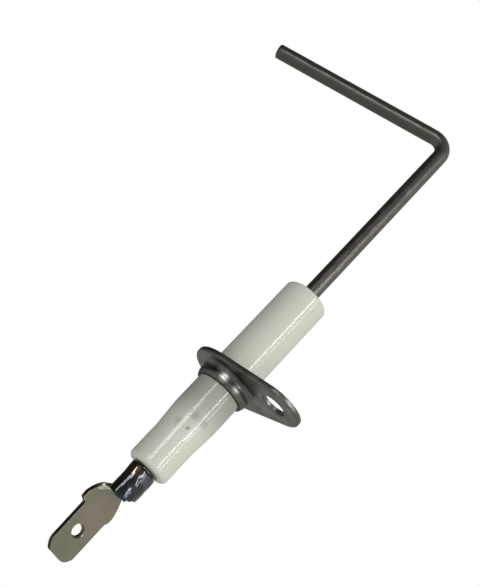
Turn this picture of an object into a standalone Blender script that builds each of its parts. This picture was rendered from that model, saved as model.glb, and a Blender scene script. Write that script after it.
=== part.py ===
"""Ignition electrode: a glazed ceramic body on a pressed flange, with a bent spark rod through it and a
flat push-on terminal crimped and brazed on the rod's other end.

Z runs along the ceramic's axis, towards the spark tip. Z = 0 is the flange's mounting face, and X points
from the axis to the flange's fixing hole. All sizes are in metres.
"""

import math

import bmesh
import bpy
from mathutils import Matrix, Vector

MM = 0.001
FULL_TURN = 2.0 * math.pi

# Ceramic body, turned about Z
BODY_R = 4.30 * MM
BODY_TAIL_R = 3.90 * MM
BODY_FRONT_Z = 20.40 * MM
BODY_REAR_Z = -21.60 * MM
TAPER_TOP_Z = -9.65 * MM
TAPER_END_Z = -14.75 * MM
FRONT_EDGE_R = 0.60 * MM
REAR_EDGE_R = 0.90 * MM
BORE_R = 1.75 * MM
SEAL_POCKET_R = 2.40 * MM
SEAL_POCKET_DEPTH = 2.20 * MM

# Cement rings that hold the rod in the bore
SEAL_GAP = 0.06 * MM
SEAL_LENGTH = 2.00 * MM

# Spark rod: one drawn wire with a single bend
ROD_R = 1.50 * MM
ROD_REAR_Z = -26.60 * MM
ROD_CORNER_Z = 64.50 * MM
ROD_BEND_R = 3.20 * MM
ROD_SIDE_LENGTH = 39.80 * MM
ROD_SIDE_POLAR = math.radians(96.0)
ROD_SIDE_AZIMUTH = math.radians(208.0)
ROD_EDGE_R = 0.12 * MM

# Flange: a pressed plate with a fixing lobe and a collar drawn round the ceramic
PLATE_T = 1.00 * MM
PLATE_R = 7.45 * MM
LOBE_X = 10.80 * MM
LOBE_R = 5.20 * MM
HOLE_R = 2.40 * MM
PLATE_ROLL_R = 0.42 * MM
COLLAR_INNER_R = BODY_R + 0.08 * MM
COLLAR_WALL = 0.60 * MM
COLLAR_RIM_Z = -3.55 * MM
COLLAR_FRONT_R = 0.60 * MM
COLLAR_ROOT_R = 0.90 * MM
COLLAR_RIM_R = 0.15 * MM

# Terminal: one sheet, flat at the blade and rolled into a barrel round the rod
SHEET_T = 0.80 * MM
BARREL_OUTER_R = 2.42 * MM
BARREL_MID_R = BARREL_OUTER_R - SHEET_T / 2.0
BARREL_TOP_Z = -21.90 * MM
BARREL_END_Z = -27.10 * MM
BARREL_END_SLANT = 1.10 * MM
BARREL_LOW_SIDE = math.radians(-62.0)
FACE_AZIMUTH = math.radians(-7.0)
SEAM_HALF_ANGLE = math.radians(74.0)
BLADE_HOLE_R = 1.15 * MM
BLADE_HOLE_Z = -35.95 * MM
BLADE_HOLE_SIDE = 0.06 * MM
NECK_THIN = 0.06 * MM

# The sheet's reach to each side and its curvature, from the blade's end to inside the barrel
SHEET_STATIONS = (
    # z, reach towards -X, reach towards +X, share of the barrel's curvature (mm, mm, mm, 0 to 1)
    (-41.10, 1.75, 1.60, 0.0),
    (-41.00, 2.02, 1.80, 0.0),
    (-40.70, 2.45, 2.15, 0.0),
    (-40.30, 2.80, 2.50, 0.0),
    (-39.85, 3.06, 2.78, 0.0),
    (-39.40, 3.20, 2.95, 0.0),
    (-32.60, 3.12, 3.10, 0.0),
    (-32.15, 3.16, 3.12, 0.0),
    (-31.85, 3.36, 4.05, 0.0),
    (-31.50, 3.50, 4.18, 0.0),
    (-30.60, 3.50, 4.18, 0.0),
    (-29.60, 3.22, 3.78, 0.03),
    (-28.60, 2.78, 3.20, 0.10),
    (-27.60, 2.25, 2.62, 0.30),
    (-26.80, 1.95, 2.05, 0.62),
    (-26.20, 1.80, 1.80, 0.90),
    (-25.60, 1.70, 1.70, 1.0),
    (-24.00, 1.60, 1.60, 1.0),
)

# Braze in the barrel's open seam and over the rod's end
BRAZE_GAP = 0.06 * MM
BRAZE_CREST_R = 2.40 * MM
BRAZE_TOP_Z = -22.10 * MM
BRAZE_HIGHEST_END_Z = -27.10 * MM
BRAZE_DOME_Z = -27.35 * MM

# Share of the dome's height that is reached at its rim
DOME_RIM_SHARE = 0.3

# How finely the round shapes are divided
ROUND_STEPS = 72
ROD_STEPS = 48
BEND_STEPS = 16
EDGE_STEPS = 6
BLADE_COLUMNS = 16
BARREL_STEPS = 44
SEAM_STEPS = 28
DOME_STEPS = 6
HOLE_STEPS = 40


def clear_scene():
    """Remove every object of the open file."""
    for obj in list(bpy.data.objects):
        bpy.data.objects.remove(obj, do_unlink=True)


def principled(name, color, roughness, metallic):
    """A plain Principled material."""
    mat = bpy.data.materials.new(name)
    mat.use_nodes = True
    shader = mat.node_tree.nodes["Principled BSDF"]
    shader.inputs["Base Color"].default_value = (*color, 1.0)
    shader.inputs["Roughness"].default_value = roughness
    shader.inputs["Metallic"].default_value = metallic
    mat.diffuse_color = (*color, 1.0)
    return mat


def object_from(name, bm, mat):
    """Turn a bmesh into a smooth-shaded object with outward normals."""
    bmesh.ops.recalc_face_normals(bm, faces=bm.faces)
    mesh = bpy.data.meshes.new(name)
    bm.to_mesh(mesh)
    bm.free()
    mesh.shade_smooth()
    mesh.set_sharp_from_angle(angle=math.radians(30.0))
    mesh.materials.append(mat)
    obj = bpy.data.objects.new(name, mesh)
    bpy.context.scene.collection.objects.link(obj)
    return obj


def circle(radius, z, steps=ROUND_STEPS, x=0.0):
    """Points of a level circle, anticlockwise from +X."""
    angles = [FULL_TURN * i / steps for i in range(steps)]
    return [Vector((x + radius * math.cos(a), radius * math.sin(a), z)) for a in angles]


def arc_profile(center_r, center_z, radius, start, end):
    """(r, z) points of an arc between two angles in degrees."""
    points = []
    for i in range(EDGE_STEPS + 1):
        angle = math.radians(start + (end - start) * i / EDGE_STEPS)
        points.append((center_r + radius * math.cos(angle), center_z + radius * math.sin(angle)))
    return points


def join_loops(bm, loops, closed):
    """Skin a list of point loops of equal length, and return the loops of vertices."""
    rings = [[bm.verts.new(p) for p in loop] for loop in loops]
    pairs = list(zip(rings, rings[1:]))
    if closed:
        pairs.append((rings[-1], rings[0]))
    for low, high in pairs:
        for i in range(len(low)):
            j = (i + 1) % len(low)
            bm.faces.new((low[i], low[j], high[j], high[i]))
    return rings


def loop_edges(bm, ring):
    """The edges that join a closed ring of vertices."""
    edges = []
    for i, vert in enumerate(ring):
        other = ring[(i + 1) % len(ring)]
        edge = bm.edges.get((vert, other))
        edges.append(edge if edge else bm.edges.new((vert, other)))
    return edges


def fill_flat(bm, rings):
    """Fill the flat region between an outer ring and the rings of its holes."""
    edges = []
    for ring in rings:
        edges += loop_edges(bm, ring)
    bmesh.ops.triangle_fill(bm, use_beauty=True, use_dissolve=False, edges=edges)


def turned(name, profile, mat, steps=ROUND_STEPS):
    """A ring-shaped solid turned about Z from a closed (r, z) profile."""
    bm = bmesh.new()
    join_loops(bm, [circle(r, z, steps) for r, z in profile], closed=True)
    return object_from(name, bm, mat)


def make_ceramic_insulator():
    """Glazed body: cylinder, taper and tail, with the rod's bore and a pocket for cement at each end."""
    profile = [(BORE_R, BODY_REAR_Z + SEAL_POCKET_DEPTH)]
    profile += [(SEAL_POCKET_R, BODY_REAR_Z + SEAL_POCKET_DEPTH)]
    profile += [(SEAL_POCKET_R, BODY_REAR_Z)]
    rear_center = (BODY_TAIL_R - REAR_EDGE_R, BODY_REAR_Z + REAR_EDGE_R)
    profile += arc_profile(*rear_center, REAR_EDGE_R, -90.0, 0.0)
    profile += [(BODY_TAIL_R, TAPER_END_Z), (BODY_R, TAPER_TOP_Z)]
    front_center = (BODY_R - FRONT_EDGE_R, BODY_FRONT_Z - FRONT_EDGE_R)
    profile += arc_profile(*front_center, FRONT_EDGE_R, 0.0, 90.0)
    profile += [(SEAL_POCKET_R, BODY_FRONT_Z)]
    profile += [(SEAL_POCKET_R, BODY_FRONT_Z - SEAL_POCKET_DEPTH)]
    profile += [(BORE_R, BODY_FRONT_Z - SEAL_POCKET_DEPTH)]
    glaze = principled("white_glaze", (0.71, 0.71, 0.65), 0.12, 0.0)
    return turned("ceramic_insulator", profile, glaze)


def make_cement_seal(name, outer_z, inward):
    """A cement ring in one of the body's end pockets."""
    inner_r = ROD_R + SEAL_GAP
    outer_r = SEAL_POCKET_R - SEAL_GAP
    start = outer_z + inward * SEAL_GAP
    end = outer_z + inward * (SEAL_GAP + SEAL_LENGTH)
    profile = [(inner_r, start), (outer_r, start), (outer_r, end), (inner_r, end)]
    cement = principled("grey_cement_" + name, (0.55, 0.53, 0.48), 0.85, 0.0)
    return turned(name, profile, cement, ROD_STEPS)


def rod_frames():
    """Centres and directions of the rod's sections, from its rear end to its tip."""
    side = Vector((
        math.sin(ROD_SIDE_POLAR) * math.cos(ROD_SIDE_AZIMUTH),
        math.sin(ROD_SIDE_POLAR) * math.sin(ROD_SIDE_AZIMUTH),
        math.cos(ROD_SIDE_POLAR),
    ))
    along = Vector((0.0, 0.0, 1.0))
    corner = Vector((0.0, 0.0, ROD_CORNER_Z))
    tangent = ROD_BEND_R * math.tan(ROD_SIDE_POLAR / 2.0)
    across = (side - side.dot(along) * along).normalized()
    center = corner - tangent * along + ROD_BEND_R * across
    frames = [(Vector((0.0, 0.0, ROD_REAR_Z)), along)]
    for i in range(BEND_STEPS + 1):
        angle = ROD_SIDE_POLAR * i / BEND_STEPS
        spot = center - ROD_BEND_R * (math.cos(angle) * across - math.sin(angle) * along)
        frames.append((spot, math.cos(angle) * along + math.sin(angle) * across))
    frames.append((corner + ROD_SIDE_LENGTH * side, side))
    return frames, along.cross(across)


def make_electrode_rod():
    """The wire: a round section carried along the path, with a small round edge at both ends."""
    frames, sideways = rod_frames()
    first, last = frames[0], frames[-1]
    sections = [(first[0], first[1], ROD_R - ROD_EDGE_R)]
    sections += [(first[0] + first[1] * ROD_EDGE_R, first[1], ROD_R)]
    sections += [(spot, way, ROD_R) for spot, way in frames[1:-1]]
    sections += [(last[0] - last[1] * ROD_EDGE_R, last[1], ROD_R)]
    sections += [(last[0], last[1], ROD_R - ROD_EDGE_R)]
    bm = bmesh.new()
    loops = []
    for spot, way, radius in sections:
        up = way.cross(sideways)
        turns = [FULL_TURN * i / ROD_STEPS for i in range(ROD_STEPS)]
        loops.append([spot + radius * (math.cos(a) * sideways + math.sin(a) * up) for a in turns])
    rings = join_loops(bm, loops, closed=False)
    bm.faces.new(rings[0])
    bm.faces.new(rings[-1])
    steel = principled("drawn_heat_resistant_wire", (0.16, 0.15, 0.14), 0.42, 0.9)
    return object_from("electrode_rod", bm, steel)


def plate_outline(inset, z):
    """The flange's outline: a round end about the ceramic, a smaller one about the hole, and tangents."""
    big_r = PLATE_R - inset
    small_r = LOBE_R - inset
    lean = math.acos((big_r - small_r) / LOBE_X)
    half = ROUND_STEPS // 2
    points = []
    for i in range(half + 1):
        angle = lean + (FULL_TURN - 2.0 * lean) * i / half
        points.append(Vector((big_r * math.cos(angle), big_r * math.sin(angle), z)))
    for i in range(half + 1):
        angle = -lean + 2.0 * lean * i / half
        points.append(Vector((LOBE_X + small_r * math.cos(angle), small_r * math.sin(angle), z)))
    return points


def collar_profile():
    """(r, z) points from the plate's rear face over the collar and its rim to the mounting face."""
    outer_r = COLLAR_INNER_R + COLLAR_WALL
    root = (outer_r + COLLAR_ROOT_R, -PLATE_T - COLLAR_ROOT_R)
    profile = arc_profile(*root, COLLAR_ROOT_R, 90.0, 180.0)
    rim = (outer_r - COLLAR_RIM_R, COLLAR_RIM_Z + COLLAR_RIM_R)
    profile += arc_profile(*rim, COLLAR_RIM_R, 0.0, -90.0)
    profile += [(COLLAR_INNER_R, COLLAR_RIM_Z)]
    front = (COLLAR_INNER_R + COLLAR_FRONT_R, -COLLAR_FRONT_R)
    profile += arc_profile(*front, COLLAR_FRONT_R, 180.0, 90.0)
    return profile


def make_mounting_flange():
    """The pressed plate with its fixing hole and the collar that is crimped on the ceramic."""
    bm = bmesh.new()
    rim_loops = []
    for i in range(EDGE_STEPS + 1):
        angle = math.pi / 2.0 * i / EDGE_STEPS
        inset = PLATE_ROLL_R * (1.0 - math.sin(angle))
        z = -PLATE_T + PLATE_ROLL_R * (1.0 - math.cos(angle))
        rim_loops.append(plate_outline(inset, z))
    rim_loops.append(plate_outline(0.0, 0.0))
    rim_rings = join_loops(bm, rim_loops, closed=False)
    collar_rings = join_loops(bm, [circle(r, z) for r, z in collar_profile()], closed=False)
    hole_loops = [circle(HOLE_R, -PLATE_T, ROD_STEPS, LOBE_X), circle(HOLE_R, 0.0, ROD_STEPS, LOBE_X)]
    hole_rings = join_loops(bm, hole_loops, closed=False)
    fill_flat(bm, (rim_rings[0], collar_rings[0], hole_rings[0]))
    fill_flat(bm, (rim_rings[-1], collar_rings[-1], hole_rings[-1]))
    steel = principled("pressed_steel", (0.20, 0.20, 0.19), 0.38, 0.9)
    return object_from("mounting_flange", bm, steel)


def terminal_frame():
    """The terminal's own axes: X across the blade, Y out of its face, Z along the ceramic's axis."""
    return Matrix.Rotation(FACE_AZIMUTH - math.pi / 2.0, 4, "Z")


def sheet_section(z, minus, plus, bend, thickness):
    """One closed section of the sheet: its width rolled up by a share of the barrel's curvature."""
    front, back = [], []
    for i in range(BLADE_COLUMNS + 1):
        reach = -minus + (minus + plus) * i / BLADE_COLUMNS
        angle = reach * bend / BARREL_MID_R
        if bend > 0.0:
            side = math.sin(angle) * BARREL_MID_R / bend
            rise = (1.0 - math.cos(angle)) * BARREL_MID_R / bend
        else:
            side = reach
            rise = 0.0
        normal = Vector((-math.sin(angle), math.cos(angle), 0.0))
        spot = Vector((side, rise - BARREL_MID_R, z))
        front.append(spot + normal * thickness / 2.0)
        back.append(spot - normal * thickness / 2.0)
    return front + back[::-1]


def blade_sheet():
    """The blade, its stop shoulders and the neck that runs up into the barrel's wall."""
    bm = bmesh.new()
    loops = []
    for z, minus, plus, bend in SHEET_STATIONS:
        thickness = SHEET_T - NECK_THIN * bend
        loops.append(sheet_section(z * MM, minus * MM, plus * MM, bend, thickness))
    rings = join_loops(bm, loops, closed=False)
    bm.faces.new(rings[0])
    bm.faces.new(rings[-1])
    return bm


def slanted_end(angle):
    """Height of the joint's slanted lower end at an angle in the terminal's own axes."""
    low_side = BARREL_LOW_SIDE - FACE_AZIMUTH + math.pi / 2.0
    return BARREL_END_Z - BARREL_END_SLANT * math.cos(angle - low_side)


def sector(inner_r, outer_r, start, sweep, steps, height):
    """Points round a part of a ring: along its inner arc and back along its outer one."""
    angles = [start + sweep * i / steps for i in range(steps + 1)]
    inner = [Vector((inner_r * math.cos(a), inner_r * math.sin(a), height(a))) for a in angles]
    outer = [Vector((outer_r * math.cos(a), outer_r * math.sin(a), height(a))) for a in angles]
    return inner + outer[::-1]


def sector_solid(loops):
    """Skin loops made by sector, and close both ends with strips across the ring's wall."""
    bm = bmesh.new()
    rings = join_loops(bm, loops, closed=False)
    for ring in (rings[0], rings[-1]):
        for i in range(len(ring) // 2 - 1):
            bm.faces.new((ring[i], ring[i + 1], ring[-2 - i], ring[-1 - i]))
    return bm


def barrel_tube():
    """The rolled barrel: a U with its open seam on the face side and a slanted lower end."""
    start = math.pi / 2.0 + SEAM_HALF_ANGLE
    sweep = FULL_TURN - 2.0 * SEAM_HALF_ANGLE
    arc = (BARREL_OUTER_R - SHEET_T, BARREL_OUTER_R, start, sweep, BARREL_STEPS)
    return sector_solid([sector(*arc, slanted_end), sector(*arc, lambda angle: BARREL_TOP_Z)])


def hidden_tool(name, bm):
    """A helper solid for a Boolean, left out of the built model."""
    tool = object_from(name, bm, principled(name + "_guide", (0.5, 0.5, 0.5), 0.5, 0.0))
    tool.hide_render = True
    tool.display_type = "WIRE"
    return tool


def add_boolean(obj, tool, operation):
    """Join or cut an object with a helper solid."""
    tool.matrix_world = obj.matrix_world.copy()
    boolean = obj.modifiers.new(operation.lower(), "BOOLEAN")
    boolean.operation = operation
    boolean.solver = "EXACT"
    boolean.object = tool


def make_spade_terminal():
    """Blade, shoulders, neck and barrel as one folded sheet."""
    nickel = principled("nickel_plated_brass", (0.42, 0.39, 0.32), 0.32, 0.85)
    terminal = object_from("spade_terminal", blade_sheet(), nickel)
    terminal.matrix_world = terminal_frame()
    add_boolean(terminal, hidden_tool("barrel_guide", barrel_tube()), "UNION")
    bm = bmesh.new()
    span = Matrix.Translation((BLADE_HOLE_SIDE, -BARREL_MID_R, BLADE_HOLE_Z))
    upright = Matrix.Rotation(math.pi / 2.0, 4, "X")
    bmesh.ops.create_cone(
        bm, cap_ends=True, segments=HOLE_STEPS, radius1=BLADE_HOLE_R, radius2=BLADE_HOLE_R,
        depth=3.0 * SHEET_T, matrix=span @ upright,
    )
    add_boolean(terminal, hidden_tool("blade_hole_guide", bm), "DIFFERENCE")
    return terminal


def seam_section(inner_r, height):
    """One section of the braze in the seam, from a given radius out to its crest."""
    half = SEAM_HALF_ANGLE - BRAZE_GAP / (BARREL_OUTER_R - SHEET_T)
    return sector(inner_r, BRAZE_CREST_R, math.pi / 2.0 - half, 2.0 * half, SEAM_STEPS, height)


def make_joint_braze():
    """Braze that fills the barrel's seam and closes over the rod's end inside the barrel."""
    rod_side_r = ROD_R + BRAZE_GAP
    mouth_r = BARREL_OUTER_R - SHEET_T - BRAZE_GAP
    dome_root_r = mouth_r / 2.0
    top_z = ROD_REAR_Z - BRAZE_GAP
    loops = [seam_section(dome_root_r, lambda angle: min(slanted_end(angle), BRAZE_HIGHEST_END_Z))]
    loops += [seam_section(dome_root_r, lambda angle: top_z)]
    loops += [seam_section(rod_side_r, lambda angle: top_z)]
    loops += [seam_section(rod_side_r, lambda angle: BRAZE_TOP_Z)]
    filler = principled("dark_braze", (0.03, 0.035, 0.05), 0.2, 0.6)
    braze = object_from("joint_braze", sector_solid(loops), filler)
    braze.matrix_world = terminal_frame()
    dome = bmesh.new()
    rise = top_z - BRAZE_DOME_Z
    loops = [circle(mouth_r, top_z - BRAZE_GAP, ROD_STEPS)]
    for i in range(DOME_STEPS):
        angle = math.pi / 2.0 * i / DOME_STEPS
        drop = rise * (DOME_RIM_SHARE + (1.0 - DOME_RIM_SHARE) * math.sin(angle))
        loops.append(circle(mouth_r * math.cos(angle), top_z - drop, ROD_STEPS))
    rings = join_loops(dome, loops, closed=False)
    dome.faces.new(rings[0])
    dome.faces.new(rings[-1])
    add_boolean(braze, hidden_tool("braze_dome_guide", dome), "UNION")
    return braze


def main():
    clear_scene()
    make_ceramic_insulator()
    make_cement_seal("front_cement_seal", BODY_FRONT_Z, -1.0)
    make_cement_seal("rear_cement_seal", BODY_REAR_Z, 1.0)
    make_electrode_rod()
    make_mounting_flange()
    make_spade_terminal()
    make_joint_braze()


main()
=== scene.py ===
"""Ignition electrode: the detailed pieces and finishes round the packed part.

The frame is the part's own: metres, the origin on the ceramic's axis at the flange's mounting face, Z towards
the spark tip, X towards the fixing hole. Every operator below builds one piece, or one group of like pieces.
"""

import math

import bmesh
import bpy
import numpy as np
from mathutils import Matrix, Vector


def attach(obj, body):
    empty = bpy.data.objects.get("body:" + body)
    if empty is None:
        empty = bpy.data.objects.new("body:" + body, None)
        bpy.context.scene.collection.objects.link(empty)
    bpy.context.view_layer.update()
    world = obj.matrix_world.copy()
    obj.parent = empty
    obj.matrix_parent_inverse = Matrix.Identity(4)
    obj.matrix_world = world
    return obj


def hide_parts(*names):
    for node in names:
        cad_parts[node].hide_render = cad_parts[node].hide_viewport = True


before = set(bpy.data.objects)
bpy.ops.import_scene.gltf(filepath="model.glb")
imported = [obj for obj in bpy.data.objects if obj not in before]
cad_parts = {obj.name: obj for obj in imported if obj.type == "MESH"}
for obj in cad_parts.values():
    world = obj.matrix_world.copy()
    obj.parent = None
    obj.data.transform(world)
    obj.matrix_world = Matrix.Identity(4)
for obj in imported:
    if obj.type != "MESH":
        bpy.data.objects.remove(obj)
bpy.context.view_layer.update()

bl_info = {
    "name": "Ignition Electrode Builder",
    "version": (1, 0, 0),
    "blender": (4, 5, 0),
    "location": "View3D > Sidebar > Electrode",
    "description": "Builds the detailed pieces of a burner ignition electrode",
    "category": "Object",
}

MM = 0.001
TURN = 2.0 * math.pi
BODY = "root"
MERGE_GAP = 1.0e-6


def size(name, description, default):
    """A length property in metres, given in mm."""
    return bpy.props.FloatProperty(
        name=name, description=description, default=default * MM, subtype="DISTANCE", unit="LENGTH",
        precision=5,
    )


def angle(name, description, degrees):
    """An angle property, given in degrees."""
    return bpy.props.FloatProperty(
        name=name, description=description, default=math.radians(degrees), subtype="ANGLE", unit="ROTATION"
    )


def share(name, description, default, highest=1.0):
    """A plain number from zero up."""
    return bpy.props.FloatProperty(
        name=name, description=description, default=default, min=0.0, max=highest, subtype="FACTOR"
    )


def tint(name, description, default):
    """A colour property."""
    return bpy.props.FloatVectorProperty(
        name=name, description=description, default=default, size=3, min=0.0, max=1.0, subtype="COLOR"
    )


class CeramicSettings(bpy.types.PropertyGroup):
    """Sizes and colours of the glazed body."""

    body_radius: size("Body radius", "Radius of the front and rear cylinders", 4.30)
    tail_radius: size("Tail radius", "Radius behind the taper", 3.90)
    bore_radius: size("Bore radius", "Radius of the rod's bore", 1.75)
    front_end: size("Front end", "Height of the front end", 20.40)
    rear_end: size("Rear end", "Height of the rear end", -21.60)
    taper_top: size("Taper start", "Height where the taper starts", -9.65)
    taper_end: size("Taper end", "Height where the taper meets the tail", -14.75)
    glaze: tint("Glaze", "Colour of the glazed body", (0.755, 0.765, 0.675))
    warm_glaze: tint("Warm glaze", "Colour of its warmer clouds", (0.73, 0.735, 0.635))
    # Painted shade: the glaze's colour next to the collar, darkened where the flange shades it.
    shaded_glaze: tint("Shaded glaze", "Colour of the greyed glaze next to the collar", (0.30, 0.30, 0.27))


class RodSettings(bpy.types.PropertyGroup):
    """Sizes and colours of the spark rod."""

    radius: size("Radius", "Radius of the wire", 1.50)
    rear_end: size("Rear end", "Height of the end inside the terminal", -26.60)
    corner: size("Corner", "Height where the two legs would meet", 64.50)
    bend_radius: size("Bend radius", "Radius of the bend's centre line", 3.20)
    side_length: size("Side leg", "Length of the side leg from the corner", 39.80)
    side_polar: angle("Bend angle", "Angle between the side leg and the ceramic's axis", 96.0)
    side_azimuth: angle("Side direction", "Direction of the side leg about the axis", 208.0)
    steel: tint("Steel", "Colour of the drawn wire", (0.20, 0.195, 0.17))
    dark_steel: tint("Dark steel", "Colour of its darker streaks", (0.14, 0.135, 0.12))
    # A darker colour over the whole side leg.
    side_steel: tint("Side steel", "Colour of the duller side leg", (0.10, 0.10, 0.085))


class FlangeSettings(bpy.types.PropertyGroup):
    """Sizes and colours of the pressed flange."""

    plate_radius: size("Plate radius", "Radius of the round end", 7.45)
    lobe_radius: size("Lobe radius", "Radius of the lobe round the fixing hole", 5.20)
    lobe_reach: size("Lobe reach", "Distance from the axis to the fixing hole", 10.80)
    hole_radius: size("Hole radius", "Radius of the fixing hole", 2.30)
    hole_roll: size("Hole roll", "Rounding of the hole's edge on the punch's side", 0.38)
    thickness: size("Thickness", "Thickness of the plate", 1.00)
    roll: size("Roll", "Rounding of the plate's rear edge", 0.42)
    collar_radius: size("Collar radius", "Outer radius of the collar", 4.98)
    collar_rim: size("Collar rim", "Height of the collar's rim", -3.55)
    steel: tint("Steel", "Colour of the pressed steel", (0.21, 0.21, 0.195))
    dark_steel: tint("Dark steel", "Colour of its dark clouds", (0.10, 0.10, 0.093))
    # Painted highlight: colour of the lighter spots where lamps would reflect on the collar.
    painted_collar_highlight: tint("Polished", "Colour of the lighter spots on the collar", (0.72, 0.71, 0.62))


class TerminalSettings(bpy.types.PropertyGroup):
    """Sizes and colours of the push-on terminal."""

    sheet: size("Sheet", "Thickness of the sheet", 0.80)
    barrel_radius: size("Barrel radius", "Radius of the barrel at the middle of its wall", 2.02)
    barrel_top: size("Barrel top", "Height of the barrel's end at the ceramic", -21.90)
    flare: size("Flare", "How far the barrel opens at the ceramic", 0.13)
    seam_half: angle("Seam", "Half of the barrel's open side", 74.0)
    face_azimuth: angle("Face direction", "Direction that the blade's face looks to", -7.0)
    hole_radius: size("Hole radius", "Radius of the locking hole", 1.15)
    hole_height: size("Hole height", "Height of the locking hole", -35.95)
    nickel: tint("Nickel", "Colour of the plated blade", (0.315, 0.285, 0.225))
    tarnish: tint("Tarnish", "Colour of its greenish clouds", (0.265, 0.255, 0.195))
    cut_edge: tint("Cut edge", "Colour of the sheared sides", (0.05, 0.04, 0.03))
    # Painted highlight: colour of the bright line on the soft edges along the sheared sides.
    painted_edge_line_colour: tint("Worn edge", "Colour of the bright line along the sides", (0.85, 0.80, 0.68))


class BrazeSettings(bpy.types.PropertyGroup):
    """Sizes and colours of the brazed joint."""

    edge_radius: size("Edge radius", "Radius where the braze meets the barrel's wall", 2.43)
    sink: size("Sink", "How far the braze sinks between the walls", 0.47)
    sink_middle: angle("Sink direction", "Direction in which it sinks most", -18.0)
    sink_half: angle("Sink width", "Half of the sunk part", 63.0)
    rod_side: size("Rod side", "Radius of its side towards the rod", 1.56)
    dome_height: size("Dome", "Height of the dome over the rod's end", -27.35)
    metal: tint("Metal", "Colour of the dark braze", (0.018, 0.024, 0.032))
    straw: tint("Straw", "Colour of the heat tint nearest the ceramic", (0.42, 0.30, 0.15))
    scale_grey: tint("Scale", "Colour of the dull scale", (0.11, 0.105, 0.135))


class SealSettings(bpy.types.PropertyGroup):
    """Colour of the cement rings."""

    cement: tint("Cement", "Colour of the cement", (0.55, 0.53, 0.48))


class StageSettings(bpy.types.PropertyGroup):
    """Camera, light and floor."""

    place: bpy.props.FloatVectorProperty(
        name="Camera place", description="Where the camera stands", size=3,
        default=(0.10957, -0.12201, -0.05130), subtype="TRANSLATION", unit="LENGTH",
    )
    heading: angle("Heading", "Direction that the camera looks to, about the axis", 134.866)
    pitch: angle("Pitch", "How far the camera looks up", 20.467)
    roll: angle("Roll", "How far the camera's right side is turned up", 44.24)
    lens: bpy.props.FloatProperty(name="Lens", description="Focal length in mm", default=61.43)
    floor_height: size("Floor height", "Height of the floor", -62.5)
    floor_colour: tint("Floor", "Colour of the floor", (0.30, 0.30, 0.295))
    floor_glow: share("Floor glow", "The floor's own light, as a share of its colour", 1.25, 4.0)
    backdrop: share("Backdrop", "Brightness behind the object", 1.0, 4.0)
    dim_side: share("Dim side", "Soft light from the darker side of the room", 0.07, 4.0)
    bright_side: share("Bright side", "Soft light from the brighter side of the room", 0.62, 4.0)


SETTINGS = (
    ("electrode_ceramic", CeramicSettings),
    ("electrode_rod", RodSettings),
    ("electrode_flange", FlangeSettings),
    ("electrode_terminal", TerminalSettings),
    ("electrode_braze", BrazeSettings),
    ("electrode_seals", SealSettings),
    ("electrode_stage", StageSettings),
)


# ---------------------------------------------------------------- surfaces


def grid_faces(rows, columns, kept=None):
    """Corner numbers of the cells of a grid of rows x columns points; `kept` marks the cells to keep."""
    numbers = np.arange(rows * columns).reshape(rows, columns)
    corners = (numbers[:-1, :-1], numbers[:-1, 1:], numbers[1:, 1:], numbers[1:, :-1])
    cells = np.stack([c.ravel() for c in corners], axis=1)
    return cells if kept is None else cells[kept.ravel()]


def patch(points, kept=None):
    """A grid of points (rows, columns, 3) as flat points, cells and a place (0 to 1, 0 to 1) for each."""
    rows, columns = points.shape[:2]
    down, across = np.meshgrid(np.linspace(0, 1, rows), np.linspace(0, 1, columns), indexing="ij")
    places = np.stack([down.ravel(), across.ravel()], axis=1)
    return points.reshape(-1, 3), grid_faces(rows, columns, kept), places


def make_piece(name, patches, finish, sharp=35.0, closed=True):
    """One mesh from several patches: points that meet are merged, which closes seams and poles, and the faces
    of a closed mesh are turned outwards. The patches' places become the UV map."""
    starts = np.cumsum([0] + [len(p[0]) for p in patches])
    points = np.concatenate([p[0] for p in patches])
    cells = np.concatenate([p[1] + start for p, start in zip(patches, starts)])
    places = np.concatenate([p[2] for p in patches])
    mesh = bpy.data.meshes.new(name)
    mesh.from_pydata(points.tolist(), [], cells.tolist())
    layer = mesh.uv_layers.new(name="along_and_around")
    layer.data.foreach_set("uv", places[cells.ravel()].ravel())
    bm = bmesh.new()
    bm.from_mesh(mesh)
    bmesh.ops.remove_doubles(bm, verts=bm.verts, dist=MERGE_GAP)
    if closed:
        loose = [e for e in bm.edges if not e.is_manifold]
        if loose:
            raise RuntimeError(f"{name} has {len(loose)} open edges near {loose[0].verts[0].co}")
    bmesh.ops.recalc_face_normals(bm, faces=bm.faces)
    bm.to_mesh(mesh)
    bm.free()
    mesh.shade_smooth()
    mesh.set_sharp_from_angle(angle=math.radians(sharp))
    mesh.materials.append(finish)
    piece = bpy.data.objects.new(name, mesh)
    bpy.context.scene.collection.objects.link(piece)
    return piece


def filleted(corners):
    """A profile of (r, z, rounding) corners with each corner rounded: the arc's centre lies on the corner's
    bisector, rounding / sin(half the corner's angle) away, and the arc sweeps 180 degrees less the angle. The
    two ends have no rounding."""
    spots = np.array([c[:2] for c in corners], float)
    line = []
    for i, (_, _, rounding) in enumerate(corners):
        here = spots[i]
        if rounding <= 0.0:
            line.append(here[None])
            continue
        back = spots[i - 1] - here
        ahead = spots[i + 1] - here
        back /= np.linalg.norm(back)
        ahead /= np.linalg.norm(ahead)
        half = math.acos(np.clip(back @ ahead, -1.0, 1.0)) / 2.0
        middle = (back + ahead) / np.linalg.norm(back + ahead)
        centre = here + middle * rounding / math.sin(half)
        sweep = math.pi - 2.0 * half
        steps = max(3, int(math.degrees(sweep) / 8.0))
        turns = np.linspace(-sweep / 2.0, sweep / 2.0, steps + 1)
        side = np.array([-middle[1], middle[0]])
        side *= math.copysign(1.0, side @ ahead)
        line.append(centre - rounding * (np.outer(np.cos(turns), middle) - np.outer(np.sin(turns), side)))
    return np.concatenate(line)


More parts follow.
